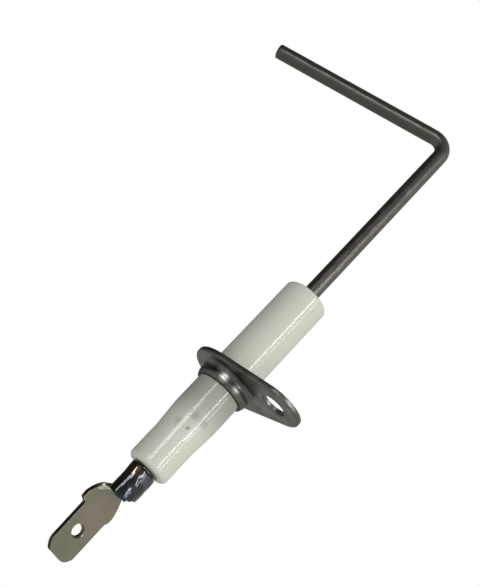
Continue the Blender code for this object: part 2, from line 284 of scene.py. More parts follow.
def spaced(profile, step):
    """The same profile with points added so that no two are farther apart than a step."""
    lengths = np.linalg.norm(np.diff(profile, axis=0), axis=1)
    counts = np.maximum(1, np.ceil(lengths / step)).astype(int)
    marks = np.concatenate([i + np.arange(n) / n for i, n in enumerate(counts)] + [[len(counts)]])
    old = np.arange(len(profile))
    return np.stack([np.interp(marks, old, profile[:, k]) for k in range(2)], axis=1)


def at_angle(radius, around, height, centre=0.0):
    """Points at a radius, an angle about the upright line at x = centre, and a height: x = centre + r cos a
    and y = r sin a."""
    x, y = centre + radius * np.cos(around), radius * np.sin(around)
    return np.stack(np.broadcast_arrays(x, y, height), axis=-1)


def turned(profile, angles, ripple=None, centre=0.0):
    """A profile of (r, z) carried round the upright line at x = centre. `ripple` adds to r."""
    radius = np.repeat(profile[:, :1], len(angles), axis=1)
    height = np.repeat(profile[:, 1:], len(angles), axis=1)
    around = np.repeat(angles[None], len(profile), axis=0)
    if ripple:
        radius = radius + ripple(around, height, radius)
    return at_angle(radius, around, height, centre)


def smooth_step(value, low, high):
    """0 below low, 1 above high, and a smooth S between."""
    t = np.clip((value - low) / (high - low), 0.0, 1.0)
    return t * t * (3.0 - 2.0 * t)


def joint_end(around):
    """Height in mm of the joint's slanted lower end, in a direction about the axis."""
    return -27.10 - 1.10 * np.cos(around + math.radians(62.0))


# ---------------------------------------------------------------- node helpers


def add(tree, kind, inputs=None, **fields):
    """Add a node, set its fields, and link or set its inputs."""
    node = tree.nodes.new(kind)
    for field, value in fields.items():
        setattr(node, field, value)
    for socket, value in (inputs or {}).items():
        if isinstance(value, bpy.types.NodeSocket):
            tree.links.new(value, node.inputs[socket])
        else:
            node.inputs[socket].default_value = value
    return node


def new_finish(name, roughness, metallic, **sockets):
    """A Principled material, its tree and its shader."""
    material = bpy.data.materials.new(name)
    material.use_nodes = True
    shader = material.node_tree.nodes["Principled BSDF"]
    shader.inputs["Roughness"].default_value = roughness
    shader.inputs["Metallic"].default_value = metallic
    for socket, value in sockets.items():
        shader.inputs[socket.replace("_", " ")].default_value = value
    return material, material.node_tree, shader


def place_on(tree, source="Object", scale=(1.0, 1.0, 1.0), turn=(0.0, 0.0, 0.0)):
    """Coordinates of the piece, scaled and turned."""
    spot = add(tree, "ShaderNodeTexCoord").outputs[source]
    return add(tree, "ShaderNodeMapping", {"Vector": spot, "Scale": scale, "Rotation": turn}).outputs[0]


def noise(tree, spot, scale, detail=3.0, wander=0.0):
    """Soft clouds between 0 and 1."""
    inputs = {"Vector": spot, "Scale": scale, "Detail": detail, "Distortion": wander}
    return add(tree, "ShaderNodeTexNoise", inputs).outputs["Fac"]


def ramp(tree, factor, *stops):
    """A colour or grey for each stop (place, value)."""
    node = add(tree, "ShaderNodeValToRGB", {"Fac": factor})
    elements = node.color_ramp.elements
    while len(elements) < len(stops):
        elements.new(0.5)
    for element, (place, value) in zip(elements, stops):
        element.position = place
        element.color = (value, value, value, 1.0) if np.isscalar(value) else (*value, 1.0)
    return node.outputs["Color"]


def mixed(tree, factor, first, second):
    """Two colours mixed by a factor."""
    node = add(tree, "ShaderNodeMix", data_type="RGBA")
    for index, value in ((0, factor), (6, first), (7, second)):
        if isinstance(value, bpy.types.NodeSocket):
            tree.links.new(value, node.inputs[index])
        else:
            node.inputs[index].default_value = value if index == 0 else (*value, 1.0)
    return node.outputs[2]


def total(tree, first, second):
    """Two numbers added."""
    return add(tree, "ShaderNodeMath", {0: first, 1: second}, operation="ADD").outputs[0]


def product(tree, first, second):
    """Two numbers multiplied."""
    return add(tree, "ShaderNodeMath", {0: first, 1: second}, operation="MULTIPLY").outputs[0]


def vectors(tree, operation, first, second):
    """The number that two vectors give, such as their distance or their dot product."""
    return add(tree, "ShaderNodeVectorMath", {0: first, 1: second}, operation=operation).outputs["Value"]


def part_of(tree, spot, axis):
    """The X, Y or Z of a coordinate."""
    return add(tree, "ShaderNodeSeparateXYZ", {0: spot}).outputs[axis]


def between(tree, value, low, high, first=0.0, last=1.0, course="SMOOTHSTEP"):
    """A value carried from one range to another, by default with a soft start and end."""
    inputs = {"Value": value, "From Min": low, "From Max": high, "To Min": first, "To Max": last}
    return add(tree, "ShaderNodeMapRange", inputs, interpolation_type=course).outputs[0]


def near(tree, spot, centre, reach):
    """1 at a point of the piece, fading to 0 at a distance."""
    return between(tree, vectors(tree, "DISTANCE", spot, centre), 0.0, reach, 1.0, 0.0)


def marked(tree, spot, colour, paint, marks):
    """A colour with soft round marks of another: (radius, degrees, height) and reach in mm, and strength."""
    for place, reach, strength in marks:
        mark = product(tree, near(tree, spot, on_cylinder(*place), reach * MM), strength)
        colour = mixed(tree, mark, colour, paint)
    return colour


def bumped(tree, shader, height, strength, distance):
    """Raise the surface by a height pattern."""
    inputs = {"Height": height, "Strength": strength, "Distance": distance}
    tree.links.new(add(tree, "ShaderNodeBump", inputs).outputs[0], shader.inputs["Normal"])


def on_cylinder(radius, degrees, height):
    """A point at a radius, direction and height in mm."""
    return tuple(at_angle(radius * MM, math.radians(degrees), height * MM))


# ---------------------------------------------------------------- finishes


def glazed_white(colours):
    """Clear glaze over off-white alumina, with warm clouds, two dark specks, painted shade and painted dark
    reflection as dark patches at the taper's start, and a band next to the collar greyed as painted shade."""
    material, tree, shader = new_finish("glazed_white", 0.15, 0.0, Specular_IOR_Level=0.45)
    spot = place_on(tree)
    clouds = ramp(tree, noise(tree, spot, 160.0), (0.35, 0.0), (0.7, 1.0))
    colour = mixed(tree, clouds, colours.glaze, colours.warm_glaze)
    specks = ramp(tree, noise(tree, spot, 1500.0, 1.0), (0.0, 0.0), (0.76, 0.0), (0.80, 0.5))
    colour = mixed(tree, specks, colour, (0.25, 0.22, 0.17))
    # Two small dark specks, then three larger dark patches at the taper's start: painted shade and painted
    # dark reflection.
    colour = marked(tree, spot, colour, (0.16, 0.15, 0.12), (
        ((4.06, -42.9, -12.7), 0.55, 0.75), ((4.30, -33.6, -7.8), 0.40, 0.65),
        ((4.06, -71.0, -12.8), 1.30, 0.34), ((4.25, -51.0, -10.3), 1.40, 0.42),
        ((4.25, -23.0, -10.3), 1.20, 0.45),
    ))
    height = part_of(tree, spot, "Z")
    # Painted shade: the glaze greys towards the collar, where the flange would shade it.
    behind = between(tree, height, -13.5 * MM, -6.0 * MM)
    painted_collar_shade = product(tree, behind, between(tree, height, -1.0 * MM, 0.0, 0.62, 0.0))
    tree.links.new(mixed(tree, painted_collar_shade, colour, colours.shaded_glaze), shader.inputs["Base Color"])
    return material


def drawn_wire(colours):
    """Dark drawn wire: streaks along the wire, fine grain, dull patches and a darker side leg."""
    material, tree, shader = new_finish("drawn_wire", 0.4, 1.0)
    along = place_on(tree, "UV", (60.0, 34.0, 1.0))
    streaks = noise(tree, along, 1.0, 4.0)
    colour = mixed(tree, ramp(tree, streaks, (0.35, 0.0), (0.65, 1.0)), colours.dark_steel, colours.steel)
    spot = place_on(tree)
    clouds = noise(tree, spot, 260.0)
    colour = mixed(tree, ramp(tree, clouds, (0.4, 0.0), (0.8, 0.45)), colour, (0.12, 0.11, 0.085))
    length = part_of(tree, place_on(tree, "UV"), "X")
    colour = mixed(tree, between(tree, length, 0.69, 0.73, 0.0, 0.8), colour, colours.side_steel)
    tree.links.new(colour, shader.inputs["Base Color"])
    tree.links.new(between(tree, streaks, 0.3, 0.7, 0.30, 0.42), shader.inputs["Roughness"])
    grain = noise(tree, place_on(tree, "UV", (900.0, 90.0, 1.0)), 1.0, 2.0)
    off_ends = product(tree, between(tree, length, 0.0, 0.004), between(tree, length, 0.996, 1.0, 0.5, 0.0))
    bumped(tree, shader, total(tree, streaks, grain), off_ends, 0.02 * MM)
    return material


def pressed_steel(colours):
    """Dark satin steel from the press: dark clouds, painted shade as dark patches round the collar's root,
    painted highlights as light spots on the collar, a painted shadow on the rim, fine grain and short
    scratches."""
    material, tree, shader = new_finish("pressed_steel", 0.33, 1.0)
    spot = place_on(tree)
    clouds = ramp(tree, noise(tree, spot, 170.0, 3.0, 0.6), (0.36, 0.0), (0.62, 1.0))
    colour = mixed(tree, clouds, colours.dark_steel, colours.steel)
    # Painted shade: three dark patches round the collar's root and on the plate beside it.
    colour = marked(tree, spot, colour, (0.02, 0.02, 0.022), (
        ((5.4, -88.0, -1.9), 1.5, 0.85), ((5.9, -30.0, -1.3), 1.7, 0.75), ((7.0, -8.0, -1.0), 2.4, 0.6),
    ))
    # Painted highlights: lighter spots on the collar's bulge where the lamps would reflect.
    colour = marked(tree, spot, colour, colours.painted_collar_highlight, (
        ((5.05, -59.5, -2.40), 1.3, 0.9), ((5.05, -25.5, -2.45), 1.1, 0.8), ((5.60, -63.5, -1.55), 0.6, 0.7),
    ))
    # Painted shadow: the collar's rim face is painted near black, standing in for the shadow in the gap at
    # the ceramic.
    rim = between(tree, part_of(tree, spot, "Z"), -3.50 * MM, -3.40 * MM, 1.0, 0.0)
    tree.links.new(mixed(tree, rim, colour, (0.012, 0.012, 0.012)), shader.inputs["Base Color"])
    scratches = noise(tree, place_on(tree, "Object", (300.0, 4000.0, 4000.0), (0.2, 0.1, 0.5)), 1.0, 2.0)
    tree.links.new(between(tree, scratches, 0.3, 0.7, 0.31, 0.43), shader.inputs["Roughness"])
    grain = noise(tree, spot, 4200.0, 2.0)
    bumped(tree, shader, total(tree, grain, scratches), 0.35, 0.01 * MM)
    return material


def tarnished_nickel(colours):
    """Warm nickel plate with greenish clouds, dark sheared sides with a painted highlight line along them,
    and a black heat stain above the barrel's edge."""
    material, tree, shader = new_finish("tarnished_nickel", 0.3, 1.0)
    spot = place_on(tree)
    clouds = ramp(tree, noise(tree, spot, 210.0, 3.0, 0.8), (0.38, 0.0), (0.66, 1.0))
    plate = mixed(tree, clouds, colours.nickel, colours.tarnish)
    facing = add(tree, "ShaderNodeAttribute", attribute_name="facing").outputs["Fac"]
    blade = between(tree, part_of(tree, spot, "Z"), -29.6 * MM, -28.6 * MM, 1.0, 0.0)
    side = product(tree, between(tree, facing, 0.15, 0.45, 1.0, 0.0), blade)
    plate = mixed(tree, side, plate, colours.cut_edge)
    # Painted highlight: a bright line on the soft edges beside the sheared sides.
    painted_edge_line = product(tree, between(tree, facing, 0.45, 0.65), between(tree, facing, 0.93, 0.985, 1.0, 0.0))
    plate = mixed(tree, painted_edge_line, plate, colours.painted_edge_line_colour)
    slant = (0.235, -0.441, 1.0)
    level = vectors(tree, "DOT_PRODUCT", spot, slant)
    level = total(tree, level, product(tree, noise(tree, spot, 500.0), 0.25 * MM))
    stain = between(tree, level, -27.20 * MM, -26.85 * MM)
    skin = ramp(
        tree, between(tree, level, -27.2 * MM, -21.6 * MM), (0.0, (0.05, 0.05, 0.036)),
        (0.4, (0.085, 0.082, 0.06)), (0.75, (0.095, 0.085, 0.06)), (1.0, (0.11, 0.08, 0.05)),
    )
    tree.links.new(mixed(tree, stain, plate, skin), shader.inputs["Base Color"])
    tree.links.new(between(tree, stain, 0.0, 1.0, 0.32, 0.24), shader.inputs["Roughness"])
    grain = noise(tree, place_on(tree, "Object", (900.0, 900.0, 9000.0)), 1.0, 2.0)
    lumps = noise(tree, spot, 900.0, 2.0)
    bumped(tree, shader, total(tree, grain, lumps), 0.25, 0.012 * MM)
    return material


def dark_braze(colours):
    """Glossy blue-black braze with a straw tint near the ceramic and a patch of dull purple-grey scale."""
    material, tree, shader = new_finish("dark_braze", 0.16, 1.0, Coat_Weight=1.0, Coat_Roughness=0.13)
    spot = place_on(tree)
    tints = ramp(tree, noise(tree, spot, 520.0, 2.0), (0.45, 0.0), (0.75, 0.6))
    colour = mixed(tree, tints, colours.metal, (0.05, 0.07, 0.10))
    straw_marks = (((2.4, -78.0, -22.7), 0.9, 0.9), ((2.3, -74.0, -23.6), 0.7, 0.6))
    colour = marked(tree, spot, colour, colours.straw, straw_marks)
    dull = near(tree, spot, on_cylinder(2.05, -4.0, -23.1), 1.7 * MM)
    dull = product(tree, dull, ramp(tree, noise(tree, spot, 1300.0, 3.0), (0.3, 0.55), (0.6, 1.0)))
    tree.links.new(mixed(tree, dull, colour, colours.scale_grey), shader.inputs["Base Color"])
    tree.links.new(between(tree, dull, 0.0, 0.8, 0.16, 0.55), shader.inputs["Roughness"])
    bumped(tree, shader, noise(tree, spot, 1500.0, 2.0), product(tree, dull, 0.3), 0.03 * MM)
    return material


def grey_cement(colours):
    """Matt sealing cement with sand grain."""
    material, tree, shader = new_finish("grey_cement", 0.9, 0.0)
    spot = place_on(tree)
    grain = noise(tree, spot, 2600.0, 4.0)
    shade = mixed(tree, ramp(tree, grain, (0.3, 0.0), (0.7, 1.0)), (0.38, 0.36, 0.32), colours.cement)
    tree.links.new(shade, shader.inputs["Base Color"])
    bumped(tree, shader, grain, 0.6, 0.05 * MM)
    return material


def pale_floor(colours):
    """Plain pale floor with a faint mottle and a little light of its own, so that it stays pale."""
    material, tree, shader = new_finish("pale_floor", 0.8, 0.0)
    clouds = noise(tree, place_on(tree), 3.0)
    shade = mixed(tree, product(tree, clouds, 0.2), colours.floor_colour, (0.28, 0.28, 0.275))
    tree.links.new(shade, shader.inputs["Base Color"])
    tree.links.new(shade, shader.inputs["Emission Color"])
    shader.inputs["Emission Strength"].default_value = colours.floor_glow
    return material


# ---------------------------------------------------------------- the pieces


def finish_piece(piece, slot, *nodes):
    """Hand a piece to the frame: the body it rides on and the nodes it stands for; the slot is not used."""
    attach(piece, BODY)
    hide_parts(*nodes)


class BuildCeramic(bpy.types.Operator):
    """Turn the glazed body with its bore, cement pockets, taper and rounded ends"""

    bl_idname = "electrode.build_ceramic"
    bl_label = "Glazed Body"

    def execute(self, context):
        s = context.scene.electrode_ceramic
        pocket = 2.40 * MM
        depth = 2.20 * MM
        corners = (
            (s.bore_radius, s.rear_end + depth, 0.0),
            (pocket, s.rear_end + depth, 0.05 * MM),
            (pocket, s.rear_end, 0.12 * MM),
            (s.tail_radius, s.rear_end, 0.90 * MM),
            (s.tail_radius, s.taper_end, 4.0 * MM),
            (s.body_radius, s.taper_top, 3.0 * MM),
            (s.body_radius, s.front_end, 0.60 * MM),
            (pocket, s.front_end, 0.12 * MM),
            (pocket, s.front_end - depth, 0.05 * MM),
            (s.bore_radius, s.front_end - depth, 0.0),
            (s.bore_radius, s.rear_end + depth, 0.0),
        )
        profile = spaced(filleted(corners), 0.40 * MM)
        angles = np.linspace(0.0, TURN, 241)
        finish = glazed_white(s)
        body = make_piece("glazed_body", [patch(turned(profile, angles, self.ripple))], finish)
        finish_piece(body, "glazed_ceramic", "ceramic_insulator")
        return {"FINISHED"}

    @staticmethod
    def ripple(around, height, radius):
        """Unevenness of the outer skin in mm: waves of 0.006 sin(2 a + 0.21 z) sin(0.55 z + 1), and a dent of
        0.02 exp(-(z + 9.3)^2 / 0.9), deepest at a = -0.9."""
        z = height / MM
        skin = smooth_step(radius, 3.0 * MM, 3.6 * MM)
        wave = np.sin(2.0 * around + 0.21 * z) * np.sin(0.55 * z + 1.0)
        dent = np.exp(-((z + 9.3) ** 2) / 0.9) * (0.5 + 0.5 * np.cos(around + 0.9))
        return skin * (0.006 * wave - 0.02 * dent) * MM


class BuildRod(bpy.types.Operator):
    """Carry the wire's round section along two straight legs and the arc that joins them, with broken ends"""

    bl_idname = "electrode.build_rod"
    bl_label = "Spark Rod"

    def execute(self, context):
        s = context.scene.electrode_rod
        side = at_angle(math.sin(s.side_polar), s.side_azimuth, math.cos(s.side_polar))
        along = np.array([0.0, 0.0, 1.0])
        across = at_angle(1.0, s.side_azimuth, 0.0)
        sideways = np.cross(along, across)
        corner = s.corner * along
        tangent = s.bend_radius * math.tan(s.side_polar / 2.0)
        centre = corner - tangent * along + s.bend_radius * across
        first = np.linspace(s.rear_end, s.corner - tangent, 90)[:, None] * along
        turns = np.linspace(0.0, s.side_polar, 29)[1:-1, None]
        bend = centre - s.bend_radius * (np.cos(turns) * across - np.sin(turns) * along)
        second = corner + np.linspace(tangent, s.side_length, 44)[:, None] * side
        spots = np.vstack([first, bend, second])
        ways = np.vstack([
            np.repeat(along[None], len(first), 0),
            np.cos(turns) * along + np.sin(turns) * across,
            np.repeat(side[None], len(second), 0),
        ])
        lengths = np.concatenate([[0.0], np.cumsum(np.linalg.norm(np.diff(spots, axis=0), axis=1))])
        radii = np.full(len(spots), s.radius)
        spots, ways, radii, lengths = self.close_ends(spots, ways, radii, lengths, s.radius)
        around = np.linspace(0.0, TURN, 65)
        up = np.cross(ways, sideways)
        # in the bend the section is flattened by 3.5 %, fading along the wire as exp(-(distance / 3 mm)^2)
        pinch = 1.0 - 0.035 * np.exp(-(((lengths - 91.4 * MM) / (3.0 * MM)) ** 2))
        ring_x = radii[:, None, None] * np.cos(around)[None, :, None] * sideways
        ring_y = (radii * pinch)[:, None, None] * np.sin(around)[None, :, None] * up[:, None, :]
        points, cells, places = patch(spots[:, None, :] + ring_x + ring_y)
        places = np.stack([np.repeat(lengths / lengths[-1], len(around)), places[:, 1]], axis=1)
        rod = make_piece("spark_rod", [(points, cells, places)], drawn_wire(s))
        finish_piece(rod, "drawn_wire", "electrode_rod")
        return {"FINISHED"}

    @staticmethod
    def close_ends(spots, ways, radii, lengths, radius):
        """Add a pole, a flat end and a broken edge at both ends of the path, which turns round after each."""
        edge = 0.14 * MM
        steps = np.array((
            (0.0, 0.0), (0.0, 0.5 * radius), (0.0, radius - edge),
            (0.3 * edge, radius - 0.3 * edge), (edge, radius),
        ))
        more = len(steps) - 1
        for inward in (1.0, -1.0):
            spots = np.vstack([spots[0] + inward * steps[:, :1] * ways[0], spots[1:]])[::-1]
            ways = np.vstack([np.repeat(ways[:1], more, 0), ways])[::-1]
            radii = np.concatenate([steps[:, 1], radii[1:]])[::-1]
            lengths = np.concatenate([np.full(more, lengths[0]), lengths])[::-1]
        return spots, ways, radii, lengths


class BuildFlange(bpy.types.Operator):
    """Press the plate with its lobe, hole and collar as one closed surface of rings"""

    bl_idname = "electrode.build_flange"
    bl_label = "Mounting Flange"

    # where the two loops of the edge meet, the break of the front edge, the reach of the collar's root, and
    # how far the faces' rings stand off the hole's edges at the rear and the front
    SPLIT = 7.1 * MM
    BURR = 0.08 * MM
    ROOT = 1.10 * MM
    MARGIN = 0.02 * MM
    FRONT_BREAK = 0.06 * MM

    def execute(self, context):
        s = context.scene.electrode_flange
        rim = [self.outline(s, inset, z) for inset, z in self.rim_profile(s)]
        patches = [patch(np.array([np.vstack([big, small[1:]]) for big, small in rim]))]
        cut = np.linspace(0.0, 1.0, 15)[:, None]
        steps = np.linspace(0.0, 1.0, 12)[:, None, None]
        angles = []
        for (big, small), z in ((rim[0], -s.thickness), (rim[-1], 0.0)):
            across = small[:1] + (small[-1:] - small[:1]) * cut
            round_end = np.vstack([big, across[1:]])
            lobe = np.vstack([small, across[::-1][1:]])
            for which, (loop, centre) in enumerate(((round_end, 0.0), (lobe, s.lobe_reach))):
                if z < 0.0:
                    angles.append(np.unwrap(np.arctan2(loop[:, 1], loop[:, 0] - centre)))
                ring = at_angle(self.inner_radius(s, which, z), angles[which], z, centre)
                patches.append(patch(ring[None] * (1.0 - steps) + loop[None] * steps))
        patches.append(patch(turned(self.collar_profile(s), angles[0], self.crimp)))
        patches.append(patch(turned(self.hole_profile(s), angles[1], None, s.lobe_reach)))
        flange = make_piece("pressed_flange", patches, pressed_steel(s), 50.0)
        finish_piece(flange, "pressed_steel", "mounting_flange")
        return {"FINISHED"}

    @staticmethod
    def outline(s, inset, z):
        """The plate's edge moved in by an inset, as two open lines that meet at x = SPLIT: the round end, and
        the lobe. The straight sides touch both circles at the angle whose cosine is the radii's difference
        over their distance."""
        big, small = s.plate_radius - inset, s.lobe_radius - inset
        lean = math.acos((big - small) / s.lobe_reach)
        start = at_angle(big, lean, z)
        end = at_angle(small, lean, z, s.lobe_reach)
        meet = start + (end - start) * (BuildFlange.SPLIT - start[0]) / (end[0] - start[0])
        mirror = np.array([1.0, -1.0, 1.0])
        steps = np.linspace(0.0, 1.0, 9)[:, None]
        arc = at_angle(big, np.linspace(lean, TURN - lean, 97), z)
        to_arc = meet + (start - meet) * steps
        round_end = np.vstack([to_arc, arc[1:-1], (to_arc * mirror)[::-1]])
        arc = at_angle(small, np.linspace(-lean, lean, 73), z, s.lobe_reach)
        to_arc = meet + (end - meet) * steps
        return round_end, np.vstack([to_arc * mirror, arc[1:-1], to_arc[::-1]])

    @staticmethod
    def rim_profile(s):
        """(inset, z): a quarter circle for the rolled rear edge, and a small one for the front edge."""
        roll, burr = s.roll, BuildFlange.BURR
        turns = np.linspace(0.0, math.pi / 2.0, 8)
        rear = np.stack([roll * (1.0 - np.sin(turns)), -s.thickness + roll * (1.0 - np.cos(turns))], axis=1)
        turns = np.linspace(0.0, math.pi / 2.0, 4)
        front = np.stack([burr * (1.0 - np.cos(turns)), -burr + burr * np.sin(turns)], axis=1)
        return np.vstack([rear, front])

    @staticmethod
    def inner_radius(s, which, z):
        """Radius of the ring inside each face: the collar's root or mouth, or the hole's broken edge."""
        if which == 0:
            return s.collar_radius + BuildFlange.ROOT if z < 0.0 else s.collar_radius
        return s.hole_radius + (s.hole_roll + BuildFlange.MARGIN if z < 0.0 else BuildFlange.FRONT_BREAK)

    @staticmethod
    def collar_profile(s):
        """(r, z) from the rear face over a wide root, a soft bulge by the rim, and the rim to the mouth."""
        outer = s.collar_radius
        inner = 4.38 * MM
        corners = (
            (outer + BuildFlange.ROOT, -s.thickness, 0.0),
            (outer - BuildFlange.MARGIN, -s.thickness, 0.95 * MM),
            (outer + 0.10 * MM, -2.70 * MM, 1.50 * MM),
            (inner + 0.30 * MM, s.collar_rim, 0.20 * MM),
            (inner, s.collar_rim, 0.06 * MM),
            (inner, 0.0, 0.60 * MM),
            (outer, 0.0, 0.0),
        )
        return spaced(filleted(corners), 0.16 * MM)

    @staticmethod
    def hole_profile(s):
        """(r, z) through the fixing hole, rolled in at the rear where the punch went in."""
        corners = (
            (s.hole_radius + s.hole_roll + BuildFlange.MARGIN, -s.thickness, 0.0),
            (s.hole_radius, -s.thickness, s.hole_roll),
            (s.hole_radius, 0.0, 0.05 * MM),
            (s.hole_radius + BuildFlange.FRONT_BREAK, 0.0, 0.0),
        )
        return spaced(filleted(corners), 0.2 * MM)

    @staticmethod
    def crimp(around, height, radius):
        """Unevenness of the crimped collar in mm, strongest at its bulge: 0.035 sin(2 a + 0.4) and
        0.018 sin(6 a + 0.7 z)."""
        z = height / MM
        bead = smooth_step(-z, 1.1, 2.4) * smooth_step(radius, 4.45 * MM, 4.75 * MM)
        return bead * (0.035 * np.sin(2.0 * around + 0.4) + 0.018 * np.sin(6.0 * around + 0.7 * z)) * MM


class BuildTerminal(bpy.types.Operator):
    """Form the push-on terminal from one sheet: blade, stop shoulders, neck and rolled barrel"""

    bl_idname = "electrode.build_terminal"
    bl_label = "Push-on Terminal"

    # height, reach to each side of the middle (mm)
    OUTLINE = np.array((
        (-41.10, 1.75, 1.60), (-41.00, 2.02, 1.80), (-40.70, 2.45, 2.15), (-40.30, 2.80, 2.50),
        (-39.85, 3.06, 2.78), (-39.40, 3.20, 2.95),
        (-32.60, 3.12, 3.10), (-32.15, 3.16, 3.12), (-31.85, 3.36, 4.05), (-31.50, 3.50, 4.18),
        (-30.60, 3.50, 4.18), (-29.60, 3.22, 3.90), (-28.60, 2.78, 3.48), (-27.60, 2.25, 2.90),
        (-26.80, 1.95, 2.25), (-26.00, 1.80, 1.80), (-25.0, 1.80, 1.80),
    ))
    # distance below the barrel's edge, share of the barrel's curvature
    ROLL = np.array(((0.0, 1.0), (0.25, 0.62), (0.6, 0.32), (1.0, 0.15), (1.8, 0.04), (3.0, 0.0), (4.0, 0.0)))
    # heights of the flat window round the hole, height where the neck starts, its reach where it meets the
    # barrel, and the number of columns across the sheet
    WINDOW = (-38.2, -33.7)
    NECK = -30.6
    JOIN = 1.80
    COLUMNS = 24

    def execute(self, context):
        s = context.scene.electrode_terminal
        columns = np.linspace(-1.0, 1.0, self.COLUMNS + 1)
        marks = np.unique(np.concatenate([
            self.OUTLINE[self.OUTLINE[:, 0] <= self.NECK, 0], np.linspace(*self.WINDOW, 19),
            (-38.8, -33.2, -31.2),
        ]))
        flat = np.repeat(marks[:, None], len(columns), axis=1)
        edge = self.barrel_edge(columns * self.JOIN, s)
        steps = np.linspace(0.0, 1.0, 22)[1:, None]
        neck = self.NECK + steps * (edge[None] - self.NECK)
        heights = np.vstack([flat, neck])
        minus = np.interp(heights, self.OUTLINE[:, 0], self.OUTLINE[:, 1])
        plus = np.interp(heights, self.OUTLINE[:, 0], self.OUTLINE[:, 2])
        minus[-1], plus[-1] = self.JOIN, self.JOIN
        reach = np.where(columns[None] < 0.0, columns[None] * minus, columns[None] * plus)
        share_of = np.interp(edge[None] - heights, self.ROLL[:, 0], self.ROLL[:, 1])
        inside = (marks[:-1] >= self.WINDOW[0] - 1e-6) & (marks[1:] <= self.WINDOW[1] + 1e-6)
        kept = np.ones((len(heights) - 1, self.COLUMNS), bool)
        low, high = 2, self.COLUMNS - 2
        rows = np.flatnonzero(inside)
        kept[rows[0]:rows[-1] + 1, low:high] = False
        patches = [patch(self.roll_up(reach, heights, share_of, s), kept)]
        patches.append(self.hole_patch(reach, heights, rows, low, high, s))
        patches.append(patch(self.barrel(columns, s)))
        terminal = make_piece("push_on_terminal", patches, tarnished_nickel(s), 35.0, False)
        turn = Matrix.Rotation(s.face_azimuth - math.pi / 2.0, 4, "Z")
        terminal.data.transform(turn)
        wall = terminal.modifiers.new("sheet", "SOLIDIFY")
        wall.thickness = s.sheet
        wall.offset = 0.0
        wall.use_even_offset = True
        soft = terminal.modifiers.new("soft_edges", "BEVEL")
        soft.width = 0.09 * MM
        soft.segments = 2
        soft.limit_method = "ANGLE"
        soft.angle_limit = math.radians(50.0)
        self.mark_facing(terminal, s)
        finish_piece(terminal, "nickel_plate", "spade_terminal")
        return {"FINISHED"}

    @staticmethod
    def mark_facing(terminal, s):
        """Apply the wall and the soft edges, and note at each corner of the mesh how much of its normal
        points along the face's direction: 1 on the blade's faces, 0 on its sheared sides."""
        bpy.context.view_layer.update()
        formed = terminal.evaluated_get(bpy.context.evaluated_depsgraph_get())
        mesh = bpy.data.meshes.new_from_object(formed)
        terminal.modifiers.clear()
        terminal.data = mesh
        ways = np.empty(3 * len(mesh.loops), np.float32)
        mesh.corner_normals.foreach_get("vector", ways)
        facing = np.abs(ways.reshape(-1, 3) @ at_angle(1.0, s.face_azimuth, 0.0)).astype(np.float32)
        mesh.attributes.new("facing", "FLOAT", "CORNER").data.foreach_set("value", facing)

    def barrel_edge(self, reach, s):
        """Height of the barrel's lower edge by reach round its wall from the middle of its back."""
        return joint_end(reach * MM / s.barrel_radius + s.face_azimuth + math.pi)

    def roll_up(self, reach, heights, share_of, s):
        """The sheet's middle surface: its width w wound on a circle of radius R / b, where b is the share of
        the barrel's curvature, so x = sin(w b / R) R / b and y = (1 - cos(w b / R)) R / b - R."""
        radius = s.barrel_radius
        bend = np.maximum(share_of, 1.0e-4)
        wound = reach * MM * bend / radius
        x = np.sin(wound) * radius / bend
        y = (1.0 - np.cos(wound)) * radius / bend - radius
        return np.stack([x, y, heights * MM], axis=2)

    def barrel(self, columns, s):
        """The barrel: a U of the same radius, open on the face side. Its radius grows by the flare along a
        smooth S between two heights near the ceramic."""
        half = (math.pi - s.seam_half) * s.barrel_radius / MM
        wing = np.linspace(self.JOIN, half, 25)
        reach = np.concatenate([-wing[::-1][:-1], columns * self.JOIN, wing[1:]])
        edge = self.barrel_edge(reach, s)
        steps = np.linspace(0.0, 1.0, 24)[:, None]
        heights = edge + steps * (s.barrel_top / MM - edge)
        reach = np.repeat(reach[None], len(heights), axis=0)
        wall = self.roll_up(reach, heights, np.ones_like(heights), s)
        open_up = 1.0 + s.flare / s.barrel_radius * smooth_step(heights, -24.6, -22.2)
        return wall * np.stack([open_up, open_up, np.ones_like(open_up)], axis=2)

    def hole_patch(self, reach, heights, rows, low, high, s):
        """The flat window round the locking hole: straight lines from the hole's circle to the window's
        border, with a lip of 0.05 mm that dies out by exp(-distance / 0.12 mm)."""
        top, bottom = rows[-1] + 1, rows[0]
        grid = self.roll_up(reach, heights, np.zeros_like(heights), s)
        border = np.vstack([
            grid[bottom, low:high + 1], grid[bottom + 1:top + 1, high],
            grid[top, low:high][::-1], grid[bottom:top, low][::-1],
        ])
        x0, z0 = 0.06 * MM, s.hole_height
        around = np.arctan2(border[:, 2] - z0, border[:, 0] - x0)
        circle = np.stack([
            x0 + s.hole_radius * np.cos(around), border[:, 1], z0 + s.hole_radius * np.sin(around)
        ], axis=1)
        steps = (np.linspace(0.0, 1.0, 10) ** 2.0)[:, None, None]
        window = circle[None] * (1.0 - steps) + border[None] * steps
        distance = np.linalg.norm(window[:-1] - circle[None], axis=2)
        window[:-1, :, 1] += 0.05 * MM * np.exp(-distance / (0.12 * MM))
        return patch(window)


